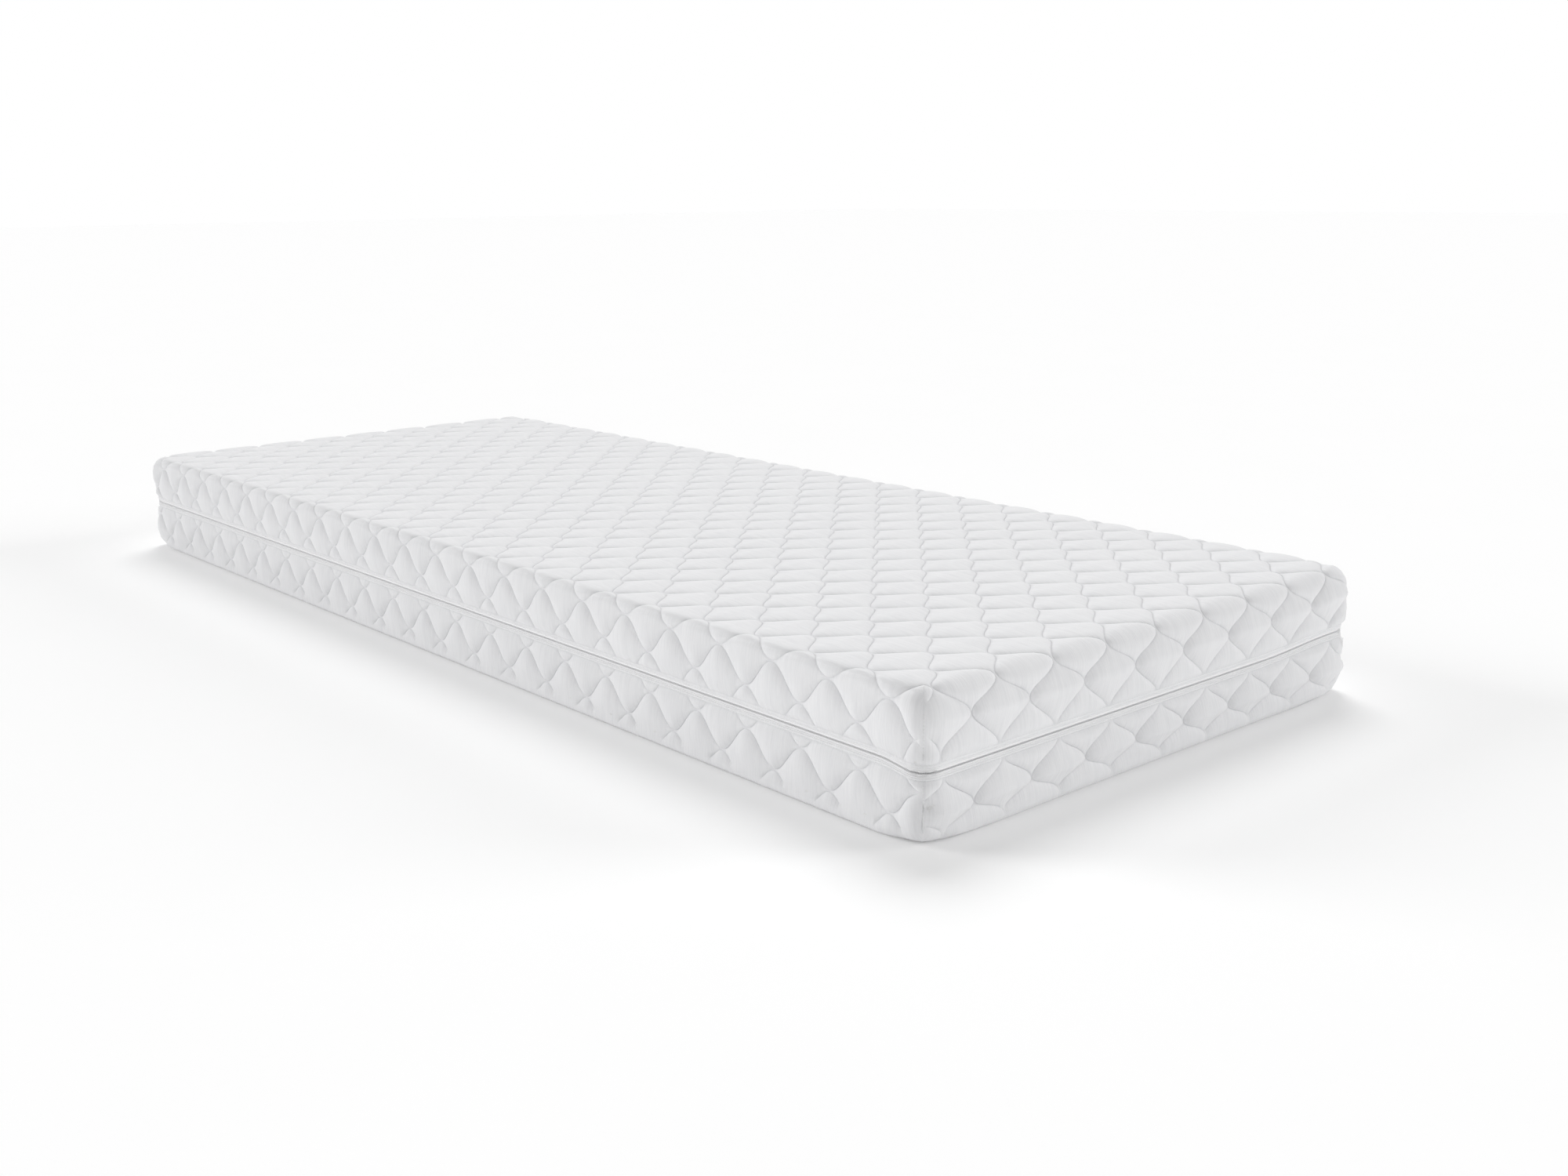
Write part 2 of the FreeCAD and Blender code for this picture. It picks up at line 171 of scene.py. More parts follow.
class Half:
    """One half of the cover: where its flat cut lies, which way is out, and how round its edges are."""

    def __init__(self, name, up, level, rim, end_edge, side_edge, corner_edge, along, across):
        self.name = name
        self.up = up
        self.level = level - up * RELIEF
        self.rim = rim
        self.end_edge, self.side_edge, self.corner_edge = end_edge, side_edge, corner_edge
        self.depth = abs(rim - level) - RELIEF - HEM
        self.along = Run(FLAT_X, WAVE_PITCH, [(self.past(end_edge, d), v, along[0]) for d, v in along[1:]])
        self.across = Run(FLAT_Y, GAP, [(self.past(side_edge, d), v, across[0]) for d, v in across[1:]])

    def past(self, edge, depth):
        """How far past the flat a point lies that is that deep down the outside of the cover."""
        outer = edge + RELIEF
        if depth < outer:
            turn = math.acos(1 - depth / outer)
            return BASE_RADIUS - edge + edge * turn
        return BASE_RADIUS - edge + edge * math.pi / 2 + depth - outer


# each run: the pattern where the corners start, then (depth down the side, pattern)
TOP = Half(
    "top", 1, HEIGHT, RIM_TOP, 0.0225, 0.009, 0.0220,
    along=(5.782, (0.0082, 6.0), (0.0435, 6.5), (0.0815, 7.0)),
    across=(6.354, (0.0205, 7.5), (0.0578, 8.5)),
)
BOTTOM = Half(
    "bottom", -1, 0.0, RIM_BOTTOM, 0.0065, 0.0065, 0.0220,
    along=(5.76, (0.0128, 6.0), (0.0387, 6.5), (0.0785, 7.0)),
    across=(6.50, (0.0257, 7.5), (0.0623, 8.5)),
)


def line_at(number, wave):
    """The stitch line's place across the cloth, in gaps."""
    sign = 1 - 2 * np.mod(number, 2)
    return number + sign * WAVE * np.cos(2 * np.pi * wave)


def smooth(low, high, value):
    share = np.clip((value - low) / (high - low), 0, 1)
    return share * share * (3 - 2 * share)


def unit(vectors):
    return vectors / np.linalg.norm(vectors, axis=1)[:, None]


# -------- from the flat cut to the mattress


def fold(past, edge):
    """The cloth past the flat, over an edge of that radius: how far out and down it is, and its turn."""
    flat = BASE_RADIUS - edge
    turn = np.clip((past - flat) / edge, 0, np.pi / 2)
    out = np.where(past < flat, np.maximum(past, 0), flat + edge * np.sin(turn))
    down = edge * (1 - np.cos(turn)) + np.maximum(past - flat - edge * np.pi / 2, 0)
    return out, down, turn


def fold_at(half, past, beside, edge):
    """The fold of one side, whose edge takes the corner's radius as it nears the seam."""
    at_seam, _, _ = fold(past, half.corner_edge)
    near = smooth(0, 1, (beside + 0.045) / (at_seam * np.pi / 4 + 0.045))
    return fold(past, edge + (half.corner_edge - edge) * near)


def sides(half, x, q):
    """Both folds of points of the flat cut, how far each point is from the corner's seam on each side, and
    whether the point is on an end."""
    over_x = np.abs(x) - FLAT_X
    over_q = np.abs(q) - FLAT_Y
    long_side = fold_at(half, over_q, over_x, half.side_edge)
    end_side = fold_at(half, over_x, over_q, half.end_edge)
    seam_long = long_side[0] * np.pi / 4 - over_x
    seam_end = end_side[0] * np.pi / 4 - over_q
    on_end = (over_x > 0) & ((over_q <= 0) | (seam_end > seam_long))
    return over_x, over_q, long_side, end_side, seam_long, seam_end, on_end


def bend(half, x, q):
    """Folds points of the flat cut over the edges. Gives the place, the way out, how far the edge has
    turned, the distance to the corner's seam, and whether the point is on an end."""
    over_x, over_q, long_side, end_side, seam_long, seam_end, on_end = sides(half, x, q)
    radius, down, turn = (np.where(on_end, e, s) for e, s in zip(end_side, long_side))
    beside = np.maximum(np.where(on_end, over_q, over_x), 0)
    round_corner = np.clip(beside / np.maximum(radius, 1e-6), 0, np.pi / 4)
    swing = np.where(on_end, np.pi / 2 - round_corner, round_corner)
    out_x = np.sign(x) * np.sin(swing)
    out_q = np.sign(q) * np.cos(swing)
    core_x = np.sign(x) * np.minimum(np.abs(x), FLAT_X)
    core_q = np.sign(q) * np.minimum(np.abs(q), FLAT_Y)
    level = half.level - half.up * down
    place = np.stack([core_x + radius * out_x, -(core_q + radius * out_q), level], axis=1)
    out = np.stack([out_x * np.sin(turn), -out_q * np.sin(turn), half.up * np.cos(turn)], axis=1)
    gap = np.where(on_end, seam_end, seam_long)
    inward = np.where(on_end, np.maximum(-over_x, 0), np.maximum(-over_q, 0))
    seam = np.hypot(np.maximum(gap, 0), inward)
    return place, out, turn, seam, on_end


def drooped(points):
    """Lets the zip sag a little across the end at +X, as it does in the photo."""
    points = np.array(points, dtype=float)
    on_end = smooth(FLAT_X - 0.04, HALF_LENGTH - 0.012, points[:, 0])
    clear_of_slider = smooth(0.36, 0.20, points[:, 1])
    near_zip = np.exp(-(((points[:, 2] - ZIP_LEVEL) / 0.024) ** 2))
    points[:, 2] -= ZIP_SAG * (on_end * clear_of_slider) * near_zip
    return points


def rim_distance(half, x, q):
    """How far above the hem's stitching the cloth still is."""
    _, _, long_side, end_side, _, _, on_end = sides(half, x, q)
    return half.depth - np.where(on_end, end_side[1], long_side[1])


def seam_level(half, x, q):
    """Above nought where the cut keeps its cloth, and below it in the darts of the four corners."""
    *_, seam_long, seam_end, _ = sides(half, x, q)
    return np.maximum(seam_long, seam_end)


# -------- puffs


def corner_pull(x, q):
    """How far the pattern is drawn up the ends by the corner seams."""
    near_corner = np.exp(-np.maximum(FLAT_Y - np.abs(q), 0) / 0.06)
    return np.sign(x) * CORNER_PULL * near_corner * smooth(FLAT_X - 0.015, FLAT_X + 0.02, np.abs(x))


def end_drift(x):
    """How far the pattern on the ends has drifted towards +Y, against the pattern on top."""
    return END_DRIFT * smooth(FLAT_X - 0.03, FLAT_X + 0.012, np.abs(x))


def cell_place(half, x, q):
    """For points of the flat cut: the numbers of the line before each and of its cell, and the distances to
    the lines on both sides."""
    even = x + corner_pull(x, q)
    wave = half.along.to_pattern(even)
    level = q + end_drift(x)
    row = half.across.to_pattern(level)
    nearest = np.round(row)
    line = np.where(row >= line_at(nearest, wave), nearest, nearest - 1)
    low = line_at(line, wave)
    high = line_at(line + 1, wave)
    node = np.where(np.mod(line, 2) == 0, 0.0, 0.5)
    cell = np.floor(wave - node)
    stretch_x, stretch_q = half.along.stretch(even), half.across.stretch(level)
    slope = WAVE * 2 * np.pi * np.sin(2 * np.pi * wave) * stretch_x / stretch_q
    square = 1 / np.sqrt(1 + slope**2)
    below = (row - low) / stretch_q * square
    above = (high - row) / stretch_q * square
    return line, cell, below, above


def cell_chance(line, cell):
    """A fixed number from 0 to 1 for each cell of the quilting."""
    mixed = np.sin(line * 12.9898 + cell * 78.233 + 37.719) * 43758.5453
    return mixed - np.floor(mixed)


def puff(half, x, q):
    """How high the cloth stands over its stitch lines."""
    place, _, turn, seam, on_end = bend(half, x, q)
    height = sewn(half, x, q, quilted(half, x, q, place[:, 2], on_end), turn, seam, place[:, 2], on_end)
    height = pressed(half, height, place[:, 2])
    rim = np.maximum(rim_distance(half, x, q), 0)
    return height * (1 - np.exp(-rim / 0.0030)) * (1 - 0.50 * np.exp(-rim / 0.012))


def crest_at(half, level, most):
    """How high the puffs are at a level: low on the flat, and most from a little way down the sides."""
    return TOP_CREST + (most - TOP_CREST) * smooth(0.002, 0.036, np.abs(level - half.level))


def drawn_in(half, level):
    """How far the corner seams stand over the stitch lines, and how much they are pinched, at a level."""
    pinch = np.exp(-(((level - PINCH_LEVELS[half.up]) / 0.007) ** 2))
    return SEAM_SHARE * crest_at(half, level, SIDE_CREST) * (1 - PINCH * pinch), pinch


def quilted(half, x, q, level, on_end):
    """How high the wadding alone pushes the cloth, at a place at that level."""
    line, cell, below, above = cell_place(half, x, q)
    crest = crest_at(half, level, np.where(on_end, END_CREST, SIDE_CREST))
    shoulder = TOP_SHOULDER + (SIDE_SHOULDER - TOP_SHOULDER) * (crest - TOP_CREST) / (END_CREST - TOP_CREST)
    crest = crest * (0.95 + 0.10 * cell_chance(line, cell))
    shoulders = (1 - np.exp(-below / shoulder)) * (1 - np.exp(-above / shoulder))
    dome = np.sqrt(np.maximum(below * above, 0)) / WIDEST
    return crest * (SHOULDER_SHARE * shoulders + (1 - SHOULDER_SHARE) * np.minimum(dome, 1.05))


def pressed(half, height, level):
    """Evens the puffs out round the bottom edge, which the mattress's weight presses on the floor."""
    if half.up > 0:
        return height
    share = smooth(0.017, 0.0095, level)
    return height * (1 - share) + share * PRESSED_SHARE * SIDE_CREST


def sewn(half, x, q, height, turn, seam, level, on_end):
    """Joins the heights across the corners, and draws the cloth together at the seams lower down."""
    over_x = np.clip(np.abs(x) - FLAT_X, -0.03, None)
    over_q = np.clip(np.abs(q) - FLAT_Y, -0.03, None)
    mirrored_x = np.sign(x) * (FLAT_X + over_q)
    mirrored_q = np.sign(q) * (FLAT_Y + over_x)
    opposite = quilted(half, mirrored_x, mirrored_q, level, ~on_end)
    share = 0.5 * np.exp(-((seam / 0.0055) ** 2))
    joined = height * (1 - share) + opposite * share
    closed = smooth(0.85, 1.25, turn)
    drawn, pinch = drawn_in(half, level)
    near = closed * np.exp(-((seam / (0.0045 + 0.003 * pinch)) ** 1.5))
    groove = closed * SEAM_GROOVE * np.exp(-((seam / 0.0016) ** 2))
    return joined * (1 - near) + near * drawn - groove


def backing_depth(half, x, q):
    """How far the backing lies inside the stitch lines' level."""
    _, _, below, above = cell_place(half, x, q)
    shape = (1 - np.exp(-below / 0.010)) * (1 - np.exp(-above / 0.010))
    return -(0.0018 + 0.0024 * shape)


# -------- meshes


def grid_of_cut(half, columns, levels):
    """The flat cut's points, with rows that follow the stitch lines, and its four-sided faces."""
    wave_low, wave_high = half.along.span()
    row_low, row_high = half.across.span()
    wave = np.arange(math.floor(wave_low * columns) - 1, math.ceil(wave_high * columns) + 2) / columns
    first, last = math.floor(row_low) - 1, math.ceil(row_high) + 1
    rows = []
    for number in range(first, last):
        low, high = line_at(number, wave), line_at(number + 1, wave)
        rows += [low + (high - low) * level for level in levels]
    row = np.array(rows)
    even = np.broadcast_to(half.along.to_cloth(wave), row.shape).ravel()
    level = half.across.to_cloth(row).ravel()
    x, q = even, level
    for _ in range(12):
        x = even - corner_pull(x, q)
        q = level - end_drift(x)
    return np.stack([x, q], axis=1), grid_faces(row.shape[0], row.shape[1])


def grid_faces(rows, columns, closed=False):
    """Four-sided faces of a grid of points; closed joins the last column to the first."""
    spare = 0 if closed else 1
    row, column = np.meshgrid(np.arange(rows - 1), np.arange(columns - spare), indexing="ij")
    after = (column + 1) % columns
    here, over = row * columns, (row + 1) * columns
    corners = [here + column, here + after, over + after, over + column]
    return np.stack([c.ravel() for c in corners], axis=1)


def cut_face(face, points, level, extra, made):
    """The part of one face where level is above nought, as point numbers."""
    ring = []
    for here, after in zip(face, np.roll(face, -1)):
        here, after = int(here), int(after)
        if level[here] >= 0:
            ring.append(here)
        if (level[here] >= 0) != (level[after] >= 0):
            key = (min(here, after), max(here, after))
            if key not in made:
                share = level[key[0]] / (level[key[0]] - level[key[1]])
                share = min(max(share, 0.02), 0.98)
                made[key] = len(points) + len(extra)
                extra.append(points[key[0]] + (points[key[1]] - points[key[0]]) * share)
            ring.append(made[key])
    return ring


def cut_cloth(points, faces, pieces, level, keep_rest):
    """Cuts four-sided faces and odd pieces where level passes nought, and drops or keeps the part below."""
    level = np.where(np.abs(level) < 1e-7, 1e-7, level)
    above = level >= 0
    inside = above[faces].all(axis=1)
    outside = ~above[faces].any(axis=1)
    extra, made, cut = [], {}, []
    for piece in faces[~inside & ~outside].tolist() + pieces:
        sides_of = above[piece]
        if sides_of.any():
            cut.append(piece if sides_of.all() else cut_face(piece, points, level, extra, made))
        if keep_rest and not sides_of.all():
            cut.append(cut_face(piece, points, -level, extra, made) if sides_of.any() else piece)
    points = np.concatenate([points, np.array(extra).reshape(-1, 2)])
    return points, faces[inside | outside] if keep_rest else faces[inside], [p for p in cut if len(p) > 2]


def cut_panel(half, columns, levels):
    """The flat cut of one half, trimmed at its rim and its corner darts, with extra rows where it bends over
    the long sides' edges, so that they come out round."""
    points, faces = grid_of_cut(half, columns, levels)
    rim = rim_distance(half, points[:, 0], points[:, 1])
    points, faces, pieces = cut_cloth(points, faces, [], rim, keep_rest=False)
    for turn in ROUND_TURNS:
        past = FLAT_Y + BASE_RADIUS - half.side_edge + half.side_edge * turn
        points, faces, pieces = cut_cloth(points, faces, pieces, np.abs(points[:, 1]) - past, keep_rest=True)
    darts = seam_level(half, points[:, 0], points[:, 1])
    points, faces, pieces = cut_cloth(points, faces, pieces, darts, keep_rest=False)
    faces = faces.tolist() + pieces
    used = np.unique(np.concatenate([np.array(f) for f in faces]))
    renumber = np.full(len(points), -1)
    renumber[used] = np.arange(len(used))
    return points[used], [[int(renumber[i]) for i in f] for f in faces]


def mesh_object(name, points, faces, material=None):
    """A smooth-shaded object from points and faces."""
    mesh = bpy.data.meshes.new(name)
    mesh.from_pydata(drooped(points), [], faces, shade_flat=False)
    mesh.validate()
    thing = bpy.data.objects.new(name, mesh)
    bpy.context.scene.collection.objects.link(thing)
    if material:
        mesh.materials.append(material)
    return thing


def vector_attribute(thing, name, values):
    attribute = thing.data.attributes.new(name, "FLOAT_VECTOR", "POINT")
    attribute.data.foreach_set("vector", np.asarray(values, dtype=np.float32).ravel())


def crease(thing, on_line):
    """Sharp edges along the stitch lines."""
    mesh = thing.data
    ends = np.empty(len(mesh.edges) * 2, dtype=np.int32)
    mesh.edges.foreach_get("vertices", ends)
    sharp = on_line[ends].reshape(-1, 2).all(axis=1)
    mesh.attributes.new("sharp_edge", "BOOLEAN", "EDGE").data.foreach_set("value", sharp)


def turned(way, faces):
    """The faces, wound the other way where way is above nought."""
    return [f[::-1] for f in faces] if way > 0 else faces


# -------- rings that go all round


def ring_path(inset, spacing=0.009, corner_steps=9):
    """A rounded rectangle inside the outline: its points and its outward directions. It starts at the +X end
    of the long side at +Y and goes round clockwise, seen from above."""
    radius = CORNER_RADIUS - inset
    places, outs = [], []
    for number, (sx, sy) in enumerate(((1, 1), (1, -1), (-1, -1), (-1, 1))):
        for step in range(corner_steps + 1):
            angle = (1 - number - step / corner_steps) * math.pi / 2
            out = (math.cos(angle), math.sin(angle))
            outs.append(out)
            places.append((sx * FLAT_X + radius * out[0], sy * FLAT_Y + radius * out[1]))
    places, outs = np.array(places), np.array(outs)
    runs = np.roll(places, -1, axis=0) - places
    lengths = np.linalg.norm(runs, axis=1)
    every_place, every_out = [], []
    for place, out, run, length in zip(places, outs, runs, lengths):
        steps = int(length / spacing) if length > 0.05 else 1
        every_place += [place + run * (step / steps) for step in range(steps)]
        every_out += [out] * steps
    return np.array(every_place), np.array(every_out)


def walk(path, distances, start):
    """Points and outward directions at distances along a closed path, from the point on it nearest to
    start, and the path's length."""
    places, outs = (np.concatenate([part, part[:1]]) for part in path)
    length = np.concatenate([[0], np.cumsum(np.linalg.norm(np.diff(places, axis=0), axis=1))])
    offset = length[np.argmin(np.linalg.norm(places[:-1] - np.array(start), axis=1))]
    at = np.mod(distances + offset, length[-1])
    place = np.stack([np.interp(at, length, places[:, k]) for k in (0, 1)], axis=1)
    out = np.stack([np.interp(at, length, outs[:, k]) for k in (0, 1)], axis=1)
    return place, unit(out), length[-1]


def at_level(flat, level):
    """Points in plan, set at a level."""
    return np.concatenate([flat, np.full((len(flat), 1), level)], axis=1)


def swept_ring(profile, inset, closed_profile):
    """Sweeps (outward offset, level) points round the mattress. Gives points and faces."""
    places, outs = ring_path(inset)
    points = np.array([at_level(places + outs * offset, level) for offset, level in profile])
    rows, columns = points.shape[:2]
    faces = grid_faces(rows, columns, closed=True)
    if closed_profile:
        last = (rows - 1) * columns
        column = np.arange(columns)
        after = (column + 1) % columns
        faces = np.concatenate([faces, np.stack([last + column, last + after, after, column], axis=1)])
    return points.reshape(-1, 3), faces


def hem_strip(half):
    """The rolled hem under the quilting, which turns in over the zip's tape."""
    stitch_line = [(-0.0004, HEM + 0.0008), (0.0, HEM), (0.0006, 0.0024)]
    roll = [(0.0009, 0.0014), (0.0005, 0.0004), (-0.0004, 0.0), (-0.0014, 0.0003), (-0.0020, 0.0014)]
    turned_in = [(-0.0022, 0.0085)]
    profile = [(out, half.rim + half.up * rise) for out, rise in stitch_line + roll + turned_in]
    points, faces = swept_ring(profile, RELIEF, closed_profile=False)
    return points, turned(-half.up, faces.tolist())


# -------- stitches


def stitch_mesh(name, centres, ways, outs, length, radius, material):
    """Many short rounded stitches: each lies along its way, half sunk in the cloth."""
    profile = np.array([(-0.5, 0.25), (-0.38, 0.8), (0.0, 1.0), (0.38, 0.8), (0.5, 0.25)])
    sides = 6
    angle = np.arange(sides) / sides * 2 * np.pi
    across = np.cross(ways, outs)
    ring = np.cos(angle)[:, None, None] * across[None] + np.sin(angle)[:, None, None] * outs[None]
    points = []
    for place, wide in profile:
        points.append(centres[None] + ways[None] * (place * length) + ring * (wide * radius))
    points = np.transpose(np.array(points), (2, 0, 1, 3))
    per = len(profile) * sides
    one = grid_faces(len(profile), sides, closed=True).tolist()
    one += [list(range(sides))[::-1], list(range(per - sides, per))]
    faces = [[i + start for i in f] for start in range(0, per * len(centres), per) for f in one]
    return mesh_object(name, points.reshape(-1, 3), faces, material)


def hem_stitching(half, material):
    """The row of stitches that holds the hem, all the way round."""
    path = ring_path(RELIEF)
    pitch, length = 0.0042, 0.0030
    _, _, total = walk(path, np.zeros(1), (0, HALF_WIDTH))
    count = int(total / pitch)
    distance = np.arange(count) * total / count
    place, out, _ = walk(path, distance, (0, HALF_WIDTH))
    outs = at_level(out, 0.0)
    ways = unit(np.stack([out[:, 1], -out[:, 0], np.full(count, 0.05)], axis=1))
    proud = 0.0001
    centres = at_level(place + out * proud, half.rim + half.up * (HEM + proud))
    return stitch_mesh(half.name + "_hem_stitches", centres, ways, outs, length, 0.00038, material)


def corner_stitching(half, material):
    """Stitches up the four corner seams, sunk between the two edges of the cloth."""
    low, high = (point.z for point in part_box(half.name + "_corner_seams"))
    pitch, length, sunk = 0.0036, 0.0028, 0.0012
    levels = np.arange(low + pitch / 2, high, pitch)
    centres, outs = [], []
    for sx, sy in ((1, 1), (1, -1), (-1, 1), (-1, -1)):
        out = np.array([sx, sy, 0]) / math.sqrt(2)
        for level in levels:
            reach = BASE_RADIUS + drawn_in(half, level)[0] - sunk
            centres.append([sx * FLAT_X + reach * out[0], sy * FLAT_Y + reach * out[1], level])
            outs.append(out)
    centres, outs = np.array(centres), np.array(outs)
    ways = np.tile([0.0, 0.0, 1.0], (len(centres), 1))
    return stitch_mesh(half.name + "_corner_stitches", centres, ways, outs, length, 0.0005, material)


# -------- zip


def half_way(level):
    """1 above the zip's middle, and -1 below it."""
    return 1 if level > ZIP_LEVEL else -1


def bowed_tape(points, up):
    """Bows the tape out beside the coil, but not on the side that the slider runs along."""
    beside_coil = np.exp(-(((points[:, 2] - up * 0.0045 - ZIP_LEVEL) / 0.0011) ** 4))
    corner = np.array([FLAT_X, FLAT_Y])
    over = points[:, :2] - np.clip(points[:, :2], -corner, corner)
    length = np.maximum(np.linalg.norm(over, axis=1), 1e-9)
    free = smooth(0.85, 0.5, over[:, 1] / length)
    points = points.copy()
    points[:, :2] += over * (TAPE_BOW * beside_coil * free / length)[:, None]
    return points


def zip_tape(node, name, material):
    """One woven tape: a strip round the mattress, with a corded edge next to the coil."""
    low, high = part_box(node)
    thick = TAPE_THICKNESS
    way = half_way(low.z)
    inner, outer = (low.z, high.z) if way > 0 else (high.z, low.z)
    steps = [0.0006, 0.0022, 0.0030, 0.0034, 0.0038, 0.0044, 0.0050, 0.0056, 0.009]
    profile = [(0.0, inner + way * step) for step in steps] + [(-0.0001, outer), (-thick + 0.0001, outer)]
    profile += [(-thick, inner + way * step) for step in steps[::-1]]
    profile += [(-thick / 2 - 0.0003, inner), (-thick / 2 + 0.0003, inner)]
    points, faces = swept_ring(profile, HALF_LENGTH - high.x, closed_profile=True)
    return mesh_object(name, bowed_tape(points, way), turned(-way, faces.tolist()), material)


def parted(place):
    """How far the teeth stand apart: fully inside the slider, where it stops at the far end of its run."""
    return smooth(0.940, 0.946, place[:, 0]) * smooth(0.38, 0.3865, place[:, 1])


def zip_coil(node, name, material, phase):
    """One row of the zip: a fine plastic coil that runs all round from one end stop to the other."""
    low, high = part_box(node)
    radius = (high.z - low.z) / 2
    inset = HALF_LENGTH - high.x + radius
    level = (low.z + high.z) / 2
    samples = 8  # in one turn of the coil
    path = ring_path(inset)
    start = (COIL_START, HALF_WIDTH - inset)
    nearest, _, total = walk(path, np.zeros(1), start)
    turns = int((total - COIL_BREAK) / COIL_PITCH)
    step = np.arange(turns * samples + 1)
    distance = step / samples * COIL_PITCH + (COIL_START - nearest[0, 0])
    angle = step / samples * 2 * np.pi + phase
    place, out, _ = walk(path, distance, start)
    bow = radius - COIL_WIRE
    reach = MESH_OF_TEETH / 2 * (1 - parted(place))
    middle = level - half_way(level) * reach
    flat = place + out * (bow * np.cos(angle))[:, None]
    centre = np.concatenate([flat, (middle + (bow + reach) * np.sin(angle))[:, None]], axis=1)
    way = unit(np.gradient(centre, axis=0))
    outward = at_level(out, 0.0)
    radial = outward * np.cos(angle)[:, None] + np.array([0, 0, 1.0]) * np.sin(angle)[:, None]
    side = unit(np.cross(way, radial))
    radial = np.cross(side, way)
    rings = []
    for number in range(3):
        around = number * 2 * np.pi / 3
        rings.append(centre + COIL_WIRE * (radial * math.cos(around) + side * math.sin(around)))
    points, faces = capped_tube(rings)
    cord_points, cord_faces = filler_cord(path, start, distance[-1], level)
    faces += [[i + len(points) for i in f] for f in cord_faces]
    return mesh_object(name, np.concatenate([points, cord_points]), faces, material)


def filler_cord(path, start, length, level):
    """The cord inside one coil."""
    sides, spacing = 8, 0.010
    distance = np.linspace(0.002, length - 0.002, int(length / spacing))
    place, out, _ = walk(path, distance, start)
    rings = []
    for number in range(sides):
        angle = number / sides * 2 * math.pi
        rings.append(at_level(place + out * (CORD * math.cos(angle)), level + CORD_RISE * math.sin(angle)))
    return capped_tube(rings)


def capped_tube(lines):
    """A tube from the lines that run along it, closed at both ends."""
    points = np.transpose(np.array(lines), (1, 0, 2))
    rows, sides = points.shape[:2]
    faces = grid_faces(rows, sides, closed=True).tolist()
    faces += [list(range(sides))[::-1], list(range((rows - 1) * sides, rows * sides))]
    return points.reshape(-1, 3), faces


# -------- foam


def foam_block(node, name, rounded_up, material):
    """A cut block of foam, rounded on its corners and on the edges that meet the cover."""
    low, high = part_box(node)
    radius = CORNER_RADIUS - (HALF_WIDTH - high.y) + 0.002
    step = 0.010
    size = high - low
    counts = [max(4, int(s / step)) for s in size]
    points, faces = box_grid(counts)
    points = np.array(low) + points * np.array(size)
    lowest, highest = np.array(low) + radius, np.array(high) - radius
    if rounded_up:
        lowest[2] = low.z
    else:
        highest[2] = high.z
    fixed = np.clip(points, lowest, highest)
    away = points - fixed
    length = np.linalg.norm(away, axis=1)
    scale = np.where(length > radius, radius / np.maximum(length, 1e-9), 1.0)
    points = fixed + away * scale[:, None]
    drift = 2.1 * np.sin(points[:, 1] * 23)
    # from the cutting wire
    ripple = 0.00035 * np.sin(points[:, 0] * 61 + drift) * np.sin(points[:, 2] * 190)
    inward = np.where(np.abs(away[:, :2]) > radius * 0.3, np.sign(away[:, :2]), 0)
    points[:, :2] -= inward * np.abs(ripple)[:, None]
    return mesh_object(name, points, faces, material)


def box_grid(counts):
    """A unit box with a grid on each side, its edges shared."""
    index, points, faces = {}, [], []

    def corner(place):
        if place not in index:
            index[place] = len(points)
            points.append([place[k] / counts[k] for k in range(3)])
        return index[place]

    for axis in range(3):
        first, second = (axis + 1) % 3, (axis + 2) % 3
        for end in (0, counts[axis]):
            for i in range(counts[first]):
                for j in range(counts[second]):
                    ring = []
                    for di, dj in ((0, 0), (1, 0), (1, 1), (0, 1)):
                        place = [0, 0, 0]
                        place[axis], place[first], place[second] = end, i + di, j + dj
                        ring.append(corner(tuple(place)))
                    faces.append(ring if end else ring[::-1])
    return np.array(points), faces


# -------- materials


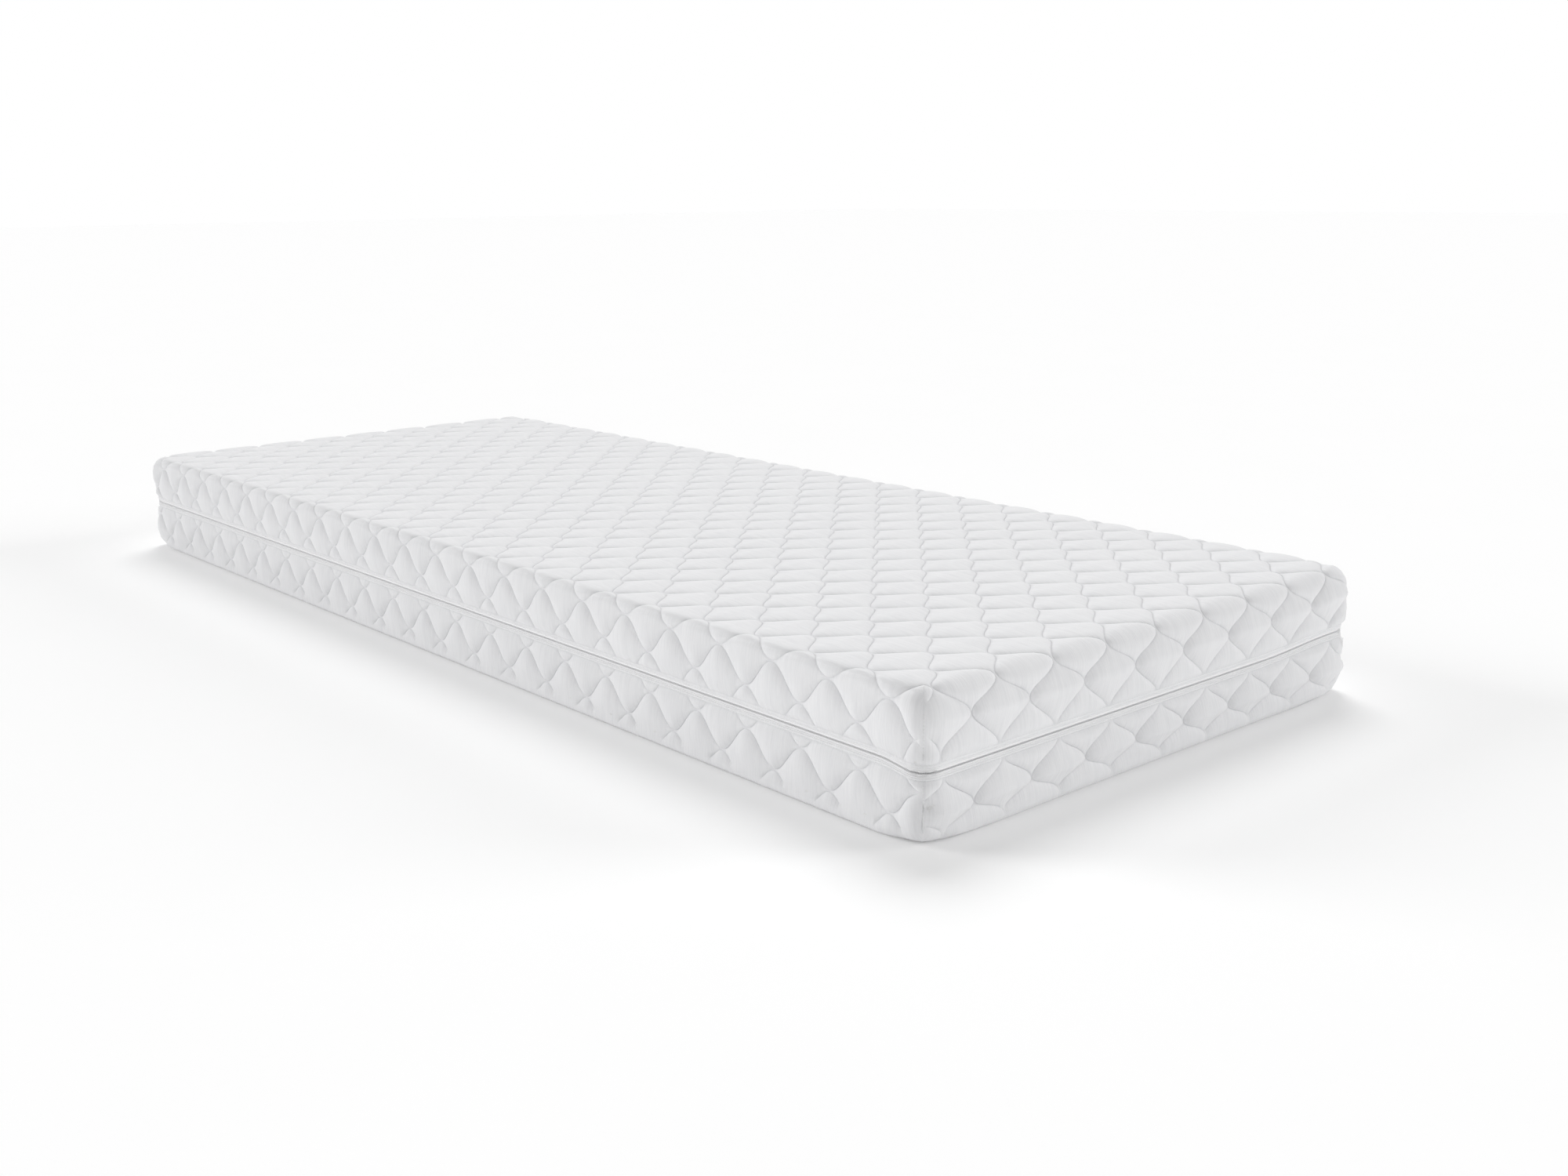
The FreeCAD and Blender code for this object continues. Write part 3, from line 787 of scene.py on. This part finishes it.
class Shader:
    """A material's node tree, with short ways to add nodes."""

    def __init__(self, name):
        self.material = bpy.data.materials.new(name)
        self.material.use_nodes = True
        self.nodes = self.material.node_tree.nodes
        self.links = self.material.node_tree.links
        self.surface = self.nodes["Principled BSDF"]

    def node(self, kind, **settings):
        made = self.nodes.new(kind)
        for key, value in settings.items():
            setattr(made, key, value)
        return made

    def feed(self, target, value):
        if isinstance(value, bpy.types.NodeSocket):
            self.links.new(value, target)
        else:
            target.default_value = value

    def maths(self, operation, first, second=0.0, third=0.0):
        made = self.node("ShaderNodeMath", operation=operation)
        for socket, value in zip(made.inputs, (first, second, third)):
            self.feed(socket, value)
        return made.outputs[0]

    def times(self, first, second):
        return self.maths("MULTIPLY", first, second)

    def ranged(self, value, width, low):
        """The value, from 0 to 1, spread from low to low + width; either may be a value too."""
        return self.maths("MULTIPLY_ADD", value, width, low)

    def wave(self, value, length):
        return self.maths("SINE", self.times(value, 2 * math.pi / length))

    def attribute(self, name):
        made = self.node("ShaderNodeAttribute", attribute_name=name, attribute_type="GEOMETRY")
        return made.outputs["Vector"]

    def position(self):
        return self.node("ShaderNodeTexCoord").outputs["Object"]

    def split(self, vector):
        made = self.node("ShaderNodeSeparateXYZ")
        self.links.new(vector, made.inputs[0])
        return made.outputs

    def multiplied(self, colour, other, share=1.0):
        made = self.node("ShaderNodeMix", data_type="RGBA", blend_type="MULTIPLY")
        made.inputs[0].default_value = share
        self.links.new(colour, made.inputs[6])
        self.links.new(other, made.inputs[7])
        return made.outputs[2]

    def texture(self, kind, vector, **inputs):
        made = self.node(kind)
        self.feed(made.inputs["Vector"], vector)
        for key, value in inputs.items():
            made.inputs[key].default_value = value
        return made

    def scaled(self, vector, scale):
        return self.texture("ShaderNodeMapping", vector, Scale=scale).outputs[0]

    def noise(self, vector, scale, detail=2.0, roughness=0.5):
        made = self.texture("ShaderNodeTexNoise", vector, Scale=scale, Detail=detail, Roughness=roughness)
        return made.outputs["Fac"]

    def cells(self, vector, scale, feature="F1"):
        made = self.texture("ShaderNodeTexVoronoi", vector, Scale=scale)
        made.feature = feature
        return made.outputs["Distance"]

    def ramp(self, value, stops):
        made = self.node("ShaderNodeValToRGB")
        self.feed(made.inputs["Fac"], value)
        elements = made.color_ramp.elements
        while len(elements) < len(stops):
            elements.new(0.5)
        for element, (place, colour) in zip(elements, stops):
            element.position = place
            element.color = (*colour, 1)
        return made.outputs["Color"]

    def bump(self, height, strength, distance, normal=None):
        made = self.node("ShaderNodeBump")
        self.feed(made.inputs["Height"], height)
        made.inputs["Strength"].default_value = strength
        made.inputs["Distance"].default_value = distance
        if normal:
            self.links.new(normal, made.inputs["Normal"])
        return made.outputs["Normal"]

    def finish(self, colour, roughness, normal=None, **constants):
        self.feed(self.surface.inputs["Base Color"], colour)
        self.feed(self.surface.inputs["Roughness"], roughness)
        if normal:
            self.links.new(normal, self.surface.inputs["Normal"])
        for key, value in constants.items():
            self.surface.inputs[key.replace("_", " ")].default_value = value
        return self.material


def knit_material():
    """White jersey: fine ribs down the sides, uneven yarn, and painted shade that greys the cloth in the
    stitch lines' grooves.
    """
    shader = Shader("white_knit")
    across, down, depth = shader.split(shader.attribute("cloth"))
    streak_place = shader.node("ShaderNodeCombineXYZ")
    shader.feed(streak_place.inputs[0], across)
    shader.feed(streak_place.inputs[1], shader.times(down, 0.055))
    long_streaks = shader.noise(streak_place.outputs[0], 620, detail=3, roughness=0.6)
    wide_streaks = shader.noise(streak_place.outputs[0], 150, detail=2)
    loops = shader.times(shader.wave(across, 0.0011), shader.wave(down, 0.0014))
    fuzz = shader.noise(shader.position(), 2600, detail=2)
    mottled = shader.noise(shader.position(), 14, detail=3)
    shade = shader.ranged(long_streaks, 0.55, shader.times(wide_streaks, 0.3))
    shade = shader.maths("ADD", shade, shader.times(mottled, 0.15))
    greys = ((0.30, (0.795, 0.797, 0.812)), (0.52, (0.86, 0.861, 0.872)), (0.70, (0.90, 0.90, 0.907)))
    tone = shader.ramp(shade, greys)
    # painted shade in the grooves: the cloth is greyed down to 0.90 where it stands lowest over its stitch
    # lines
    sunk = shader.ramp(depth, ((0.0, (0.90, 0.90, 0.905)), (0.30, (1.0, 1.0, 1.0))))
    colour = shader.multiplied(tone, sunk)
    rough = shader.ranged(fuzz, 0.12, 0.80)
    normal = shader.bump(long_streaks, 0.35, 0.0009)
    normal = shader.bump(shader.maths("ADD", loops, shader.times(fuzz, 0.8)), 0.22, 0.00025, normal)
    return shader.finish(
        colour, rough, normal, Sheen_Weight=0.25, Sheen_Roughness=0.45, Specular_IOR_Level=0.25
    )


def backing_material():
    """Thin non-woven backing: pressed fibres with small bonding dots."""
    shader = Shader("backing_fleece")
    place = shader.position()
    fibres = shader.noise(place, 900, detail=4, roughness=0.7)
    clouds = shader.noise(place, 35, detail=3)
    dots = shader.cells(place, 420)
    shade = shader.ranged(clouds, 0.5, shader.times(fibres, 0.5))
    tone = shader.ramp(shade, ((0.3, (0.72, 0.72, 0.71)), (0.7, (0.86, 0.86, 0.85))))
    normal = shader.bump(shader.maths("ADD", fibres, dots), 0.4, 0.0004)
    return shader.finish(tone, shader.ranged(fibres, 0.15, 0.78), normal, Specular_IOR_Level=0.2)


def wadding_material():
    """Bonded polyester fibre."""
    shader = Shader("polyester_wadding")
    fibres = shader.noise(shader.position(), 380, detail=6, roughness=0.8)
    tone = shader.ramp(fibres, ((0.3, (0.78, 0.78, 0.78)), (0.75, (0.93, 0.93, 0.93))))
    normal = shader.bump(fibres, 0.7, 0.002)
    return shader.finish(tone, shader.ranged(fibres, 0.1, 0.86), normal, Sheen_Weight=0.4)


def thread_material():
    """Twisted sewing thread."""
    shader = Shader("white_thread")
    twist = shader.noise(shader.scaled(shader.position(), (1, 1, 1.6)), 4200, detail=1)
    tone = shader.ramp(twist, ((0.3, (0.80, 0.80, 0.81)), (0.7, (0.90, 0.90, 0.90))))
    return shader.finish(tone, shader.ranged(twist, 0.2, 0.5), shader.bump(twist, 0.5, 0.0003))


def tape_material():
    """Woven white polyester tape."""
    shader = Shader("woven_tape")
    place = shader.position()
    x, y, z = shader.split(place)
    slanting = shader.maths("ADD", shader.maths("ADD", x, y), z)
    weave = shader.times(shader.wave(z, 0.0009), shader.wave(slanting, 0.0012))
    worn = shader.noise(place, 55, detail=3)
    tone = shader.ramp(
        shader.ranged(weave, 0.12, worn), ((0.3, (0.90, 0.90, 0.91)), (0.7, (0.95, 0.95, 0.955)))
    )
    normal = shader.bump(weave, 0.5, 0.0002)
    return shader.finish(tone, shader.ranged(worn, 0.15, 0.68), normal, Specular_IOR_Level=0.3)


def coil_material():
    """Polyester monofilament, nearly white."""
    shader = Shader("coil_plastic")
    rub = shader.noise(shader.position(), 800, detail=3)
    tone = shader.ramp(rub, ((0.3, (0.90, 0.90, 0.91)), (0.75, (0.95, 0.95, 0.955))))
    normal = shader.bump(rub, 0.15, 0.0001)
    return shader.finish(tone, shader.ranged(rub, 0.2, 0.28), normal, Specular_IOR_Level=0.45)


def metal_material(name, dark, light, scratch, base_rough, coated):
    """Cast or pressed metal with fine scratches; coated has a thin lacquer over it."""
    shader = Shader(name)
    place = shader.position()
    grain = shader.noise(shader.scaled(place, (1, 6, 1)), scratch, detail=4, roughness=0.7)
    worn = shader.noise(place, 300, detail=3)
    shade = shader.ranged(grain, 0.5, shader.times(worn, 0.5))
    tone = shader.ramp(shade, ((0.3, dark), (0.7, light)))
    constants = {"Metallic": 0.15 if coated else 1.0, "Coat_Weight": 0.4 if coated else 0.0}
    normal = shader.bump(grain, 0.12, 0.0001)
    return shader.finish(tone, shader.ranged(grain, 0.2, base_rough), normal, **constants)


def foam_material(name, low, high, cell):
    """Open-cell foam: fine cells, larger pores here and there with painted shade in them, and a slightly
    uneven colour.
    """
    shader = Shader(name)
    place = shader.position()
    fine = shader.cells(place, 1 / cell, "SMOOTH_F1")
    pores = shader.cells(place, 0.22 / cell)
    clouds = shader.noise(place, 9, detail=4)
    pits = shader.ramp(pores, ((0.0, (0.0, 0.0, 0.0)), (0.22, (1.0, 1.0, 1.0))))
    tone = shader.ramp(shader.ranged(fine, 0.35, shader.times(clouds, 0.7)), ((0.25, low), (0.75, high)))
    # painted shade: the larger pores are darkened by up to a quarter, as if shaded inside
    colour = shader.multiplied(tone, pits, 0.25)
    normal = shader.bump(shader.ranged(fine, 0.6, pits), 0.5, 0.0008)
    return shader.finish(colour, shader.ranged(clouds, 0.1, 0.85), normal, Specular_IOR_Level=0.15)


knit = knit_material()
fleece = backing_material()
fibre = wadding_material()
thread = thread_material()
weave = tape_material()
plastic = coil_material()
memory = foam_material("memory_foam", (0.83, 0.80, 0.70), (0.92, 0.90, 0.82), 0.0011)
support = foam_material("support_foam", (0.72, 0.74, 0.76), (0.84, 0.86, 0.88), 0.0016)
slider_paint = metal_material("slider_enamel", (0.62, 0.62, 0.63), (0.74, 0.74, 0.75), 900, 0.32, True)
pull_paint = metal_material("pull_enamel", (0.64, 0.64, 0.65), (0.76, 0.76, 0.77), 1300, 0.30, True)
steel = metal_material("stop_steel", (0.50, 0.50, 0.51), (0.68, 0.68, 0.68), 1600, 0.28, False)

# -------- the cover


def cloth_coordinates(half, x, q, height):
    """For the knit: place across the ribs, place along them, and how far the cloth stands over its lines,
    which sets the knit's painted shade in the grooves.
    """
    _, _, turn, _, on_end = bend(half, x, q)
    down_side = (~on_end) & (turn > 0.6)
    across = np.where(down_side, x, q)
    along = np.where(down_side, q, x)
    return np.stack([across, along, np.clip(height / TOP_CREST, 0, 1.5)], axis=1)


def make_ticking(half):
    """The outer cloth, with its hem."""
    points, faces = cut_panel(half, COLUMNS, LEVELS)
    x, q = points[:, 0], points[:, 1]
    height = puff(half, x, q)
    place, out, _, _, _ = bend(half, x, q)
    if half.up < 0:  # the floor squashes the puffs underneath
        flatness = np.abs(out[:, 2])
        height = np.minimum(height * (1 + 0.25 * flatness), RELIEF / np.maximum(flatness, 0.3))
    place = place + out * height[:, None]
    hem_points, hem_faces = hem_strip(half)
    start = len(place)
    hem_faces = [[i + start for i in f] for f in hem_faces]
    # the hem gets a height of 0.8, which keeps it clear of the knit's painted groove shade
    hem_cloth = np.stack([hem_points[:, 0], hem_points[:, 1], np.full(len(hem_points), 0.8)], axis=1)
    every = np.concatenate([place, hem_points])
    thing = mesh_object(half.name + "_cover_cloth", every, turned(half.up, faces) + hem_faces, knit)
    vector_attribute(thing, "cloth", np.concatenate([cloth_coordinates(half, x, q, height), hem_cloth]))
    _, _, below, above = cell_place(half, x, q)
    on_line = np.minimum(below, above) < 1e-5
    crease(thing, np.concatenate([on_line, np.zeros(len(hem_points), dtype=bool)]))
    return thing


def edges_once(faces):
    """Edges that only one face has, in that face's direction."""
    seen = {}
    for face in faces:
        for here, after in zip(face, face[1:] + face[:1]):
            key = (min(here, after), max(here, after))
            seen[key] = None if key in seen else (here, after)
    return [edge for edge in seen.values() if edge]


def make_lining(half):
    """The wadding, thick in the puffs and thin at the stitch lines, and the backing inside it."""
    points, faces = cut_panel(half, COARSE_COLUMNS, COARSE_LEVELS)
    x, q = points[:, 0], points[:, 1]
    place, out, _, _, _ = bend(half, x, q)
    inner = backing_depth(half, x, q)
    outer = np.maximum(puff(half, x, q) - CLOTH_THICKNESS, inner + 0.0008)
    if half.up < 0:
        outer = np.minimum(outer, RELIEF - CLOTH_THICKNESS)
    faces = turned(half.up, faces)
    backing = mesh_object(half.name + "_backing_cloth", place + out * inner[:, None], faces, fleece)
    shell = np.concatenate([place + out * outer[:, None], place + out * (inner + 0.0004)[:, None]])
    count = len(place)
    walls = [[b, a, a + count, b + count] for a, b in edges_once(faces)]
    back = [[i + count for i in f[::-1]] for f in faces]
    wadding = mesh_object(half.name + "_wadding_fill", shell, faces + back + walls, fibre)
    return wadding, backing


def area_of_cut(half):
    """The flat cut's width and length, and its area without the four darts."""
    drop = half.depth + HEM
    side, end = (half.past(edge, drop + RELIEF) for edge in (half.side_edge, half.end_edge))
    width = 2 * (FLAT_Y + side)
    length = 2 * (FLAT_X + end)
    return width, length, width * length - 4 * side * end


for half, row in ((TOP, "upper"), (BOTTOM, "lower")):
    body = half.name + "_cover"
    tape_node, coil_node = "zip_tape_" + row, "zip_coil_" + row
    cloth = make_ticking(half)
    wadding, backing = make_lining(half)
    hem = hem_stitching(half, thread)
    seams = corner_stitching(half, thread)
    tape = zip_tape(tape_node, tape_node + "_weave", weave)
    coil = zip_coil(coil_node, coil_node + "_teeth", plastic, 0.0 if half.up > 0 else math.pi)
    pieces = (
        (cloth, half.name + "_ticking", "ticking"),
        (wadding, half.name + "_wadding", "wadding"),
        (backing, half.name + "_backing", "backing"),
        (hem, half.name + "_hem_stitching", "thread"),
        (seams, half.name + "_corner_seams", "thread"),
        (tape, tape_node, "zip_tape"),
        (coil, coil_node, "zip_coil"),
    )
    for piece, node, finish in pieces:
        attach(piece, body)
        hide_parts(node)
    width, length, area = area_of_cut(half)

# -------- foam and metal

for node, name, rounded_up, finish, look in (
    ("support_foam_core", "support_foam", False, "support_foam", support),
    ("memory_foam_layer", "memory_foam", True, "memory_foam", memory),
):
    block = foam_block(node, name, rounded_up, look)
    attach(block, "core")
    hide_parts(node)

for node, look in (
    ("slider_body", slider_paint),
    ("slider_bridge", slider_paint),
    ("pull_tab", pull_paint),
    ("zip_stop_upper", steel),
    ("zip_stop_lower", steel),
):
    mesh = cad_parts[node].data
    mesh.materials.clear()
    mesh.materials.append(look)

# -------- floor, light and camera


def make_floor(glow):
    """A wide pale floor, which glows a little so that it fills the mattress's shadow."""
    span, level = 30.0, -0.0004
    corners = [(-span, -span, level), (span, -span, level), (span, span, level), (-span, span, level)]
    shader = Shader("pale_floor")
    dust = shader.noise(shader.position(), 3, detail=2)
    tone = shader.ramp(dust, ((0.0, (0.94, 0.94, 0.94)), (1.0, (0.955, 0.955, 0.955))))
    glowing = {"Emission_Color": (1, 1, 1, 1), "Emission_Strength": glow}
    material = shader.finish(tone, 0.9, Specular_IOR_Level=0.0, **glowing)
    floor = mesh_object("floor", corners, [[0, 1, 2, 3]], material)


def make_world(sky, seen):
    """An even white sky: seen is what the camera sees of it, and sky how much it lights."""
    world = bpy.data.worlds.new("studio")
    bpy.context.scene.world = world
    world.use_nodes = True
    nodes, links = world.node_tree.nodes, world.node_tree.links
    path = nodes.new("ShaderNodeLightPath")
    strength = nodes.new("ShaderNodeMix")
    strength.inputs[2].default_value = sky
    strength.inputs[3].default_value = seen
    links.new(path.outputs["Is Camera Ray"], strength.inputs[0])
    links.new(strength.outputs[0], nodes["Background"].inputs["Strength"])
    nodes["Background"].inputs["Color"].default_value = (1, 1, 1, 1)


def make_soft_sun(name, azimuth, elevation, strength, spread):
    """A wide soft light from far off. Azimuth is from +X towards +Y, in degrees, and so is the spread."""
    light = bpy.data.lights.new(name, "SUN")
    light.energy = strength
    light.angle = math.radians(spread)
    lamp = bpy.data.objects.new(name, light)
    turn, rise = math.radians(azimuth), math.radians(elevation)
    towards = Vector((math.cos(turn) * math.cos(rise), math.sin(turn) * math.cos(rise), math.sin(rise)))
    lamp.location = towards * 5
    lamp.rotation_mode = "QUATERNION"
    lamp.rotation_quaternion = towards.to_track_quat("Z", "Y")
    bpy.context.scene.collection.objects.link(lamp)


def make_camera():
    """Stands off the near corner, a little above the mattress, and looks along it."""
    data = bpy.data.cameras.new("camera")
    data.sensor_width = 36.0
    data.lens = 37.63
    data.clip_end = 100.0
    camera = bpy.data.objects.new("camera", data)
    forward = Vector((-0.72993, 0.64036, -0.23905)).normalized()
    right = Vector((0.66099, 0.75034, -0.0083)).normalized()
    up = right.cross(forward).normalized()
    right = forward.cross(up)
    turn = Matrix((right, up, -forward)).transposed().to_4x4()
    camera.matrix_world = Matrix.Translation((2.0530, -1.5039, 0.6480)) @ turn
    bpy.context.scene.collection.objects.link(camera)
    bpy.context.scene.camera = camera


make_floor(glow=0.085)
make_world(sky=0.362, seen=1.0)
make_soft_sun("back_light", azimuth=138, elevation=53, strength=1.30, spread=30)
make_soft_sun("right_light", azimuth=54, elevation=17, strength=1.05, spread=26)
make_soft_sun("left_light", azimuth=-146, elevation=19, strength=1.18, spread=26)
make_soft_sun("front_light", azimuth=-45, elevation=20, strength=0.36, spread=60)
make_camera()
bpy.context.scene.view_settings.view_transform = "Standard"
